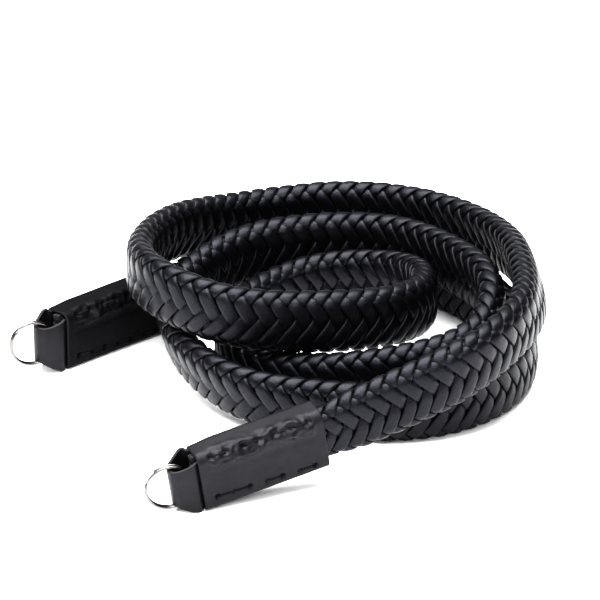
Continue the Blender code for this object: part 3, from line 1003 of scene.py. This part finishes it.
# The swollen edge, the lumps below the upper seam and above it, and the groove: how far below the seam each lies
# and half its width, then its height: plain, and by puff, fold and lump
LUMPS = (
    (0.0010, 0.0032, 0.00026, 0.00010, 0.00055, 0.0),
    (0.0024, 0.0013, 0.00050, 0.0, 0.0, 0.00150),
    (-0.0016, 0.0014, 0.00006, 0.0, 0.0, 0.00080),
    (0.0054, 0.0012, -0.00020, 0.0, 0.0, 0.0),
)

# Each seam on one face: where it starts round the outline, how far it drifts over the sleeve, the gaps whose thread
# lies on this face, as a running stitch leaves the others bare, and how high the thread sits, in its own radii.
# Then its holes, by depth of even and odd ones and two half widths, and height and half width of ridge and trench.
SEAM_COLUMNS = ("start", "drift", "gaps", "seat", "holes", "ridge", "trench")
SEAM_TABLE = (
    (run_at_height(SLEEVE_HEIGHT / 2 - UPPER_SEAM_DOWN, -1), 0.0, (0, 2, 4, 5), -0.20,
     (0.00085, 0.00085, 0.00090, 0.00085), (0.0, 1.0), (0.00012, 0.00090)),
    (run_at_height(LOWER_SEAM_UP - SLEEVE_HEIGHT / 2, -1), LOWER_SEAM_FALL, (0, 1, 3, 5), 0.20,
     (0.00125, 0.00060, 0.00070, 0.00062), (0.00007, 0.0011), (0.00014, 0.00070)),
    (run_at_height(SLEEVE_HEIGHT / 2 - BACK_SEAM_DOWN, 1), 0.0, (1, 3), 0.20,
     (0.00060, 0.00060, 0.00070, 0.00065), (0.00008, 0.0016), (0.0, 1.0)),
    (run_at_height(LOWER_SEAM_UP - SLEEVE_HEIGHT / 2, 1), -LOWER_SEAM_FALL, (2, 4), 0.20,
     (0.00060, 0.00060, 0.00070, 0.00065), (0.00008, 0.0016), (0.0, 1.0)),
)
SEAMS = [dict(zip(SEAM_COLUMNS, values)) for values in SEAM_TABLE]


def seam_run(seam, along):
    """How far round the outline a seam is, at places along the sleeve."""
    return seam["start"] + seam["drift"] * along / SLEEVE_LENGTH


def round_gap(run, seam, along):
    """Distance round the outline from a seam, the shorter way."""
    return (run - seam_run(seam, along) + SLEEVE_ROUND / 2) % SLEEVE_ROUND - SLEEVE_ROUND / 2


def bell(value, width):
    """A smooth bump of height 1."""
    return np.exp(-((value / width) ** 2))


def sleeve_relief(along, run, seed):
    """Height of the sleeve's skin above its plain outline, in metres."""
    below = run - seam_run(SEAMS[0], along)
    turn = (along - SEAM_START) / SEAM_PITCH
    last = SEAM_HOLES - 1
    in_row = ease((turn + 0.45) / 0.5) * ease((last + 0.45 - turn) / 0.5)
    puff = 0.5 - 0.5 * np.cos(2 * np.pi * turn)
    lump, fold, waver = (
        wave_noise(np.stack([along * often, across * finely, 0 * along + layer], axis=1), seed)
        for often, across, finely, layer in ((300, below, 330, 0), (640, below, 560, 5), (70, run, 80, 9))
    )
    height = WAVER * waver
    for down, width, plain, by_puff, by_fold, by_lump in LUMPS:
        height += in_row * bell(below - down, width) * (plain + by_puff * puff + by_fold * fold + by_lump * lump)
    for seam in SEAMS:
        away = round_gap(run, seam, along)
        ridge, ridge_width = seam["ridge"]
        height += in_row * bell(away, ridge_width) * ridge
        even, odd, hole_length, hole_width = seam["holes"]
        for hole in range(SEAM_HOLES):
            place = along - SEAM_START - hole * SEAM_PITCH
            height -= (odd if hole % 2 else even) * bell(place, hole_length) * bell(away, hole_width)
        trench, trench_width = seam["trench"]
        for gap in seam["gaps"]:
            sunk = ease((turn - gap + 0.1) / 0.2) * ease((gap + 1.1 - turn) / 0.2)
            height -= trench * sunk * bell(away, trench_width)
    return height


# How much closer together the points round the outline are near each seam, how far past it, and over what width
CROWDING = ((3.0, 0.0014, 0.0034), (2.5, 0.0, 0.0019), (1.6, 0.0, 0.0014), (1.6, 0.0, 0.0019))


def sleeve_stops():
    """Distances round the outline, closer together near the seams."""
    at = dense * SLEEVE_ROUND
    crowd = 1.0
    for seam, (closer, past, width) in zip(SEAMS, CROWDING):
        crowd = crowd + closer * bell(round_gap(at - past, seam, SLEEVE_LENGTH / 2), width)
    total = np.concatenate([[0.0], np.cumsum(crowd)])
    shares = np.arange(SLEEVE_AROUND) / SLEEVE_AROUND * total[-1]
    return np.interp(shares, total, np.append(at, SLEEVE_ROUND))


def make_sleeve(name, matrix, seed, leather):
    """One leather tube, from the inside round the mouth's lip, along the outside and round the other lip."""
    runs = sleeve_stops()
    quarter = np.linspace(0, np.pi / 2, LIP_STEPS)
    lip = LIP_RADIUS
    turn_in = [(lip - lip * math.sin(a), SLEEVE_WALL - lip + lip * math.cos(a)) for a in quarter]
    turn_out = [(lip - lip * math.cos(a), lip - lip * math.sin(a)) for a in quarter]
    mouth = turn_in + turn_out
    coil = [(SLEEVE_LENGTH - x, inset) for x, inset in reversed(mouth)]
    outside = [(x, 0.0) for x in np.linspace(lip, SLEEVE_LENGTH - lip, SLEEVE_ROWS)[1:-1]]
    inside = [(x, SLEEVE_WALL) for x in np.linspace(SLEEVE_LENGTH - lip, lip, INSIDE_ROWS)[1:-1]]
    sections, edges = [], []
    for along, inset in mouth + outside + coil + inside:
        points = sleeve_outline(inset, CORNER_STEPS)
        loop, normals, _ = loop_at(points, runs / SLEEVE_ROUND * loop_at(points, runs)[2])
        on_face = max(0.0, 1 - inset / lip)
        relief = sleeve_relief(np.full(len(runs), along), runs, seed) * on_face if on_face else 0.0
        loop = loop + normals * np.reshape(relief, (-1, 1))
        upper_back = ease((loop[:, 1] / SLEEVE_HEIGHT * 2 - 0.2) / 0.8) * ease((loop[:, 0] / SLEEVE_THICKNESS + 0.5))
        loop[:, 1] -= MOUTH_DROOP * upper_back * (1 - ease(along / DROOP_REACH))
        sections.append(np.column_stack([np.full(len(runs), along), loop]))
        edges.append(np.full(len(runs), 1.0 if lip * 0.5 < inset < SLEEVE_WALL - lip * 0.5 else 0.0))
    return skin_mesh(name, sections, leather, matrix, edges, ring=True)


SLEEVE_SEEDS = {"left": 2, "near": 5}
SLEEVES = {
    name: make_sleeve(name + "_sleeve_leather", END_FRAMES[name], SLEEVE_SEEDS[name], leather)
    for name, leather in (("left", LEFT_SHADED_HIDE), ("near", NEAR_HIDE))
}
for name, item in SLEEVES.items():
    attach(item, "root")
    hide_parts(name + "_sleeve")
print("sleeves:", {name: len(item.data.polygons) for name, item in SLEEVES.items()}, "faces")

# %% [markdown]
# The stitches
#
# A stitch is a short piece of thread that dips into a hole at each end. One tree makes a single stitch from a
# grid rolled into a thin tube, then sets a copy on every point of a small mesh. Each point carries two
# directions, along the seam and out of the leather, which turn its copy. The thread lies on the front in some gaps
# and on the back in the others, as in a running stitch, so a few stitches stand on the back too.

# %% Stitch tree
STITCH_ROWS = 17
STITCH_COLUMNS = 11
STITCH_LENGTH = SEAM_PITCH * 0.96
STITCH_DIP = 0.00085
THREAD_RADIUS = 0.00030
PLY_TWIST = 22.0
PLY_RELIEF = 0.10


def stitch_tree(material):
    """Copies of one stitch on points that carry their directions."""
    tree = Tree("seam_stitches")
    (spots,) = map(tree.object_mesh, tree.ask("Object", "Places"))
    grid, row, column = tree.grid(STITCH_ROWS, STITCH_COLUMNS)
    share = row / (STITCH_ROWS - 1.0)
    centred = share * 2.0 - 1.0
    far = tree.math("ABSOLUTE", centred)
    around = column / (STITCH_COLUMNS - 1.0) * (2 * math.pi)
    thin = tree.math("SQRT", tree.math("MAXIMUM", 0.0, 1.0 - tree.math("POWER", far, 8.0)))
    plies = tree.math("COSINE", around * 2.0 - share * PLY_TWIST)
    size = thin * (1.0 + plies * PLY_RELIEF) * THREAD_RADIUS
    drop = tree.math("POWER", far, 4.0) * STITCH_DIP
    y, z = (tree.math(wave, around) * size for wave in ("COSINE", "SINE"))
    stitch = tree.mould(grid, tree.join(centred * (STITCH_LENGTH * 0.5), y, z - drop))
    turn = tree.node(
        "FunctionNodeAxesToRotation", primary_axis="Z", secondary_axis="X", Primary_Axis=tree.attribute("outward"),
        Secondary_Axis=tree.attribute("along"),
    )
    copies = tree.node("GeometryNodeInstanceOnPoints", Points=spots, Instance=stitch, Rotation=tree.out(turn))
    return tree.finish(tree.out(copies), material)


STITCH_TREE = stitch_tree(THREAD)
print("stitch tree:", len(STITCH_TREE.nodes), "nodes")

# %% [markdown]
# Sewing
#
# A stitch stands over the middle of its gap, at the height that the sleeve's skin has there, and part of its
# thread is sunk into the leather.

# %% Sew both seams of each sleeve
def seam_points(matrix, seed):
    """Middles and directions of the stitches of a sleeve, on the relief of its skin."""
    spots, along_axes, outward_axes = [], [], []
    turn = np.array(matrix.to_3x3())
    for seam in SEAMS:
        for gap in seam["gaps"]:
            along = np.array([SEAM_START + (gap + 0.5) * SEAM_PITCH])
            run = seam_run(seam, along)
            loop, normals, _ = loop_at(SLEEVE_POINTS, run)
            outward = np.array([0.0, *normals[0]])
            height = sleeve_relief(along, run, seed)[0] + THREAD_RADIUS * seam["seat"]
            spots.append(matrix @ Vector(np.array([along[0], *loop[0]]) + outward * height))
            along_axes.append(turn @ (1.0, 0.0, 0.0))
            outward_axes.append(turn @ outward)
    return points_object("seam_points", spots, along=along_axes, outward=outward_axes)


for name, seed in SLEEVE_SEEDS.items():
    spots = seam_points(END_FRAMES[name], seed)
    stitches = grow(STITCH_TREE, name + "_stitches", {"Places": spots})
    bpy.data.objects.remove(spots, do_unlink=True)
    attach(stitches, "root")
    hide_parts(name + "_sleeve")
    print(name, "stitches:", len(stitches.data.polygons), "faces")

# %% [markdown]
# The tabs
#
# A tab is one band of leather, folded round the ring with both panels running back into the sleeve. Its middle
# line is a smooth curve through a short table, mirrored for the second panel. The section swept along it is a
# tall thin rectangle with softly rounded edges.

# %% Tab bands
TAB_SECTIONS = 110
TAB_ROUNDING = 0.00032
TAB_CORNER_STEPS = 3
CUT_EDGE_FROM = 0.6
TAB_COLUMNS = ("run", "spread", "front_top", "back_top", "bottom", "tip")
TAB = (
    (0.00, 1.04, 0.86, 0.95, 1.02, 0.00),
    (0.16, 1.24, 0.86, 1.05, 1.10, 0.00),
    (0.45, 1.20, 0.79, 1.00, 1.08, 0.05),
    (0.70, 0.95, 0.72, 0.90, 1.01, 0.28),
    (0.87, 0.76, 0.70, 0.80, 0.95, 0.58),
    (0.965, 0.46, 0.69, 0.70, 0.88, 0.86),
    (1.00, 0.00, 0.69, 0.69, 0.84, 1.00),
)


def tab_line(end):
    """The folded middle line as (along, across, top, bottom, heading), from the back panel to the front one."""
    seat = SLEEVE_THICKNESS / 2 - SLEEVE_WALL - SEAT_GAP - TAB_LEATHER / 2
    half_height = SLEEVE_HEIGHT / 2 - SLEEVE_WALL
    fold = end["reach"] * SLEEVE_THICKNESS - TAB_LEATHER / 2
    back, front = [], []
    for values in TAB:
        row = dict(zip(TAB_COLUMNS, values))
        share = row["tip"]
        top_at = lambda key: half_height * (row[key] + (end["fold_top"] - row[key]) * share)
        bottom = -half_height * (row["bottom"] + (end["fold_bottom"] - row["bottom"]) * share)
        back.append((-row["run"] * fold, row["spread"] * seat, 0.0, top_at("back_top"), bottom))
        front.append((-row["run"] * fold, -row["spread"] * seat, 0.0, top_at("front_top"), bottom))
    slope = np.array([-1.0, 0.0, 0.0, 0.0, 0.0])
    curve = solve_curve(back + front[-2::-1], slope, -slope)
    values, slopes = read_curve(curve, np.linspace(0, curve[1][-1], TAB_SECTIONS))
    heading = slopes[:, :2] / np.linalg.norm(slopes[:, :2], axis=1)[:, None]
    rows = [(TAB_INSIDE, seat, back[0][3], back[0][4], -1.0, 0.0)]
    rows += [(*value[:2], *value[3:], *way) for value, way in zip(values, heading)]
    return rows + [(TAB_INSIDE, -seat, front[0][3], front[0][4], 1.0, 0.0)]


def make_tab(name, end, matrix):
    """The band swept along its line, with rounded cut edges."""
    half = TAB_LEATHER / 2
    turns = [start + 90 * step / TAB_CORNER_STEPS for *_, start in CORNERS for step in range(TAB_CORNER_STEPS + 1)]
    marks = [1.0 if abs(math.sin(math.radians(turn))) > CUT_EDGE_FROM else 0.0 for turn in turns]
    sections, edges = [], []
    for along, across, top, bottom, heading_x, heading_y in tab_line(end):
        section = rounded_box(half, (top - bottom) / 2, (TAB_ROUNDING,) * 4, TAB_CORNER_STEPS)
        middle = (top + bottom) / 2
        sections.append([(along + heading_y * away, across - heading_x * away, middle + up) for away, up in section])
        edges.append(marks)
    return skin_mesh(name, sections, TAB_HIDE, matrix, edges)


for name, end in ENDS.items():
    tab = make_tab(name + "_tab_leather", end, END_FRAMES[name])
    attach(tab, "root")
    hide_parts(name + "_tab")
    print(name, "tab:", len(tab.data.polygons), "faces")

# %% [markdown]
# The cut ends of the laces
#
# In each mouth the laces end between the two panels of the tab. The knife has opened the hide there, so their
# ends are paler and rougher than their faces. They stand in two uneven stacks and end a little in front of the
# mouth, where they catch the light.

# %% Lace ends in the mouths
STUB_THICKNESS = 0.0011
STUB_HEIGHT = 0.0027
STUB_APART = 0.00125
STUB_RISE = 0.00262
STUB_BACK = 0.0040
STUB_REACH = 0.0009
STUB_TIP = 0.0002
STUB_ROUNDING = 0.00025
# How far a lace end strays: along, up, and by turning about the two axes
STUB_STRAYS = (0.0008, 0.0004, 0.35, 0.30)

RAW_HIDE = mottled(
    "raw_hide", ((0.0090, 0.0085, 0.0095), (0.044, 0.042, 0.046)),
    dict(kind="Noise", Scale=1800.0, Detail=4.0, Roughness=0.7), bump=(0.6, 0.0002), Roughness=0.80,
    Specular_IOR_Level=0.15,
)


def lace_stub(name, matrix):
    """A short flat lace end with softened corners, along +X from the origin."""
    section = rounded_box(STUB_THICKNESS / 2, STUB_HEIGHT / 2, (STUB_ROUNDING,) * 4, 2)
    stops = ((STUB_BACK, 1.0), (0.0, 1.0), (-STUB_REACH, 1.0), (-STUB_REACH - STUB_TIP, 0.8))
    sections = [[(along, shrink * across, shrink * up) for across, up in section] for along, shrink in stops]
    return skin_mesh(name, sections, RAW_HIDE, matrix)


for name, matrix in END_FRAMES.items():
    stubs = []
    for number in range(2 * LACES_EACH_WAY):
        column, row = number % 2, number // 2
        waves = [noise.noise(Vector((number * 3.7, k * 5.1, len(name) * 2.3))) for k in range(4)]
        along, up, turn, tilt = (most * wave for most, wave in zip(STUB_STRAYS, waves))
        spot = Vector((along, (column - 0.5) * STUB_APART, (row - 2.5) * STUB_RISE + up))
        lean = Matrix.Rotation(turn, 4, "Z") @ Matrix.Rotation(tilt, 4, "X")
        stubs.append(lace_stub(f"{name}_lace_end_{number + 1}", matrix @ Matrix.Translation(spot) @ lean))
    joined = bmesh.new()
    for stub in stubs:
        joined.from_mesh(stub.data)
    joined.to_mesh(stubs[0].data)
    joined.free()
    for stub in stubs[1:]:
        bpy.data.objects.remove(stub, do_unlink=True)
    stubs[0].name = name + "_lace_ends"
    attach(stubs[0], "root")
    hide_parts("braided_strap")
    print(name, "lace ends:", len(stubs[0].data.polygons), "faces")

# %% [markdown]
# The split rings
#
# A split ring is one flat wire of nearly two turns that lies on itself and steps over once. The tree rolls a
# grid into a tube, bends it round by the angle of each row, and lifts it by half the pitch where the step is.
# The wire thins to nothing in its last rows, which closes and rounds its ends.

# %% Ring tree and steel
RING_OUTER_RADIUS = 0.0074
RING_WIRE_WIDTH = 0.00095
RING_WIRE_HEIGHT = 0.00085
RING_TURN_GAP = 0.00015
RING_TURNS = 1.90
RING_STEP_TURN = 0.93
RING_STEP_TURNS = 0.09
RING_ROWS = 300
RING_COLUMNS = 15


def ring_tree(material):
    """A coil of flat wire that steps over to its second turn."""
    tree = Tree("split_ring")
    (start,) = tree.ask("Float", "Start turn")
    grid, row, column = tree.grid(RING_ROWS, RING_COLUMNS)
    radius = RING_OUTER_RADIUS - RING_WIRE_WIDTH / 2
    turn = row / (RING_ROWS - 1.0) * RING_TURNS
    ends = (RING_STEP_TURN, RING_STEP_TURN + RING_STEP_TURNS, -1.0, 1.0)
    step = tree.out(tree.node("ShaderNodeMapRange", turn, *ends, interpolation_type="SMOOTHSTEP"))
    lift = step * ((RING_WIRE_HEIGHT + RING_TURN_GAP) / 2)
    angle = (start + turn) * (2 * math.pi)
    around = column / (RING_COLUMNS - 1.0) * (2 * math.pi)

    # Half circles at both ends of the wire
    nearest = tree.math("MINIMUM", turn, RING_TURNS - turn)
    reach = nearest * (radius * 2 * math.pi) / RING_WIRE_WIDTH
    short = 1.0 - tree.math("MINIMUM", 1.0, reach * 2.0)
    full = tree.math("SQRT", 1.0 - short * short)

    wide, high = (tree.math(wave, around) * full * 0.5 for wave in ("COSINE", "SINE"))
    outward = radius + wide * RING_WIRE_WIDTH
    x, z = (tree.math(wave, angle) * outward for wave in ("COSINE", "SINE"))
    return tree.finish(tree.mould(grid, tree.join(x, lift + high * RING_WIRE_HEIGHT, z)), material)


STEEL = mottled(
    "polished_steel", ((0.110, 0.104, 0.102), (0.215, 0.208, 0.205)), dict(kind="Noise", Scale=1500.0, Detail=4.0),
    rough=(0.3, 0.7, 0.12, 0.26), Metallic=1.0, Specular_Tint=(0.25, 0.24, 0.23, 1),
)
print("material:", STEEL.name)

# %% [markdown]
# Two rings in their tabs
#
# Each ring is wound round the origin, then slid, turned and carried into the fold of its tab by one matrix, the
# same for all its points.

# %% Wind both rings
RING_TREE = ring_tree(STEEL)
for name, end in ENDS.items():
    start = end["step"] / 360 - RING_STEP_TURN - RING_STEP_TURNS / 2
    ring = grow(RING_TREE, name + "_ring_wire", {"Start turn": start})
    fold_inside = end["reach"] * SLEEVE_THICKNESS - TAB_LEATHER
    beyond = Vector((-end["slide"] * SLEEVE_THICKNESS, 0.0, end["rise"] * SLEEVE_THICKNESS))
    swing = Matrix.Rotation(math.radians(end["swing"]), 4, "Z")
    ring.data.transform(
        END_FRAMES[name] @ Matrix.Translation((-fold_inside, 0.0, 0.0)) @ swing @ Matrix.Translation(beyond)
    )
    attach(ring, "root")
    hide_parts(name + "_split_ring")
    print(name, "ring:", len(ring.data.polygons), "faces")
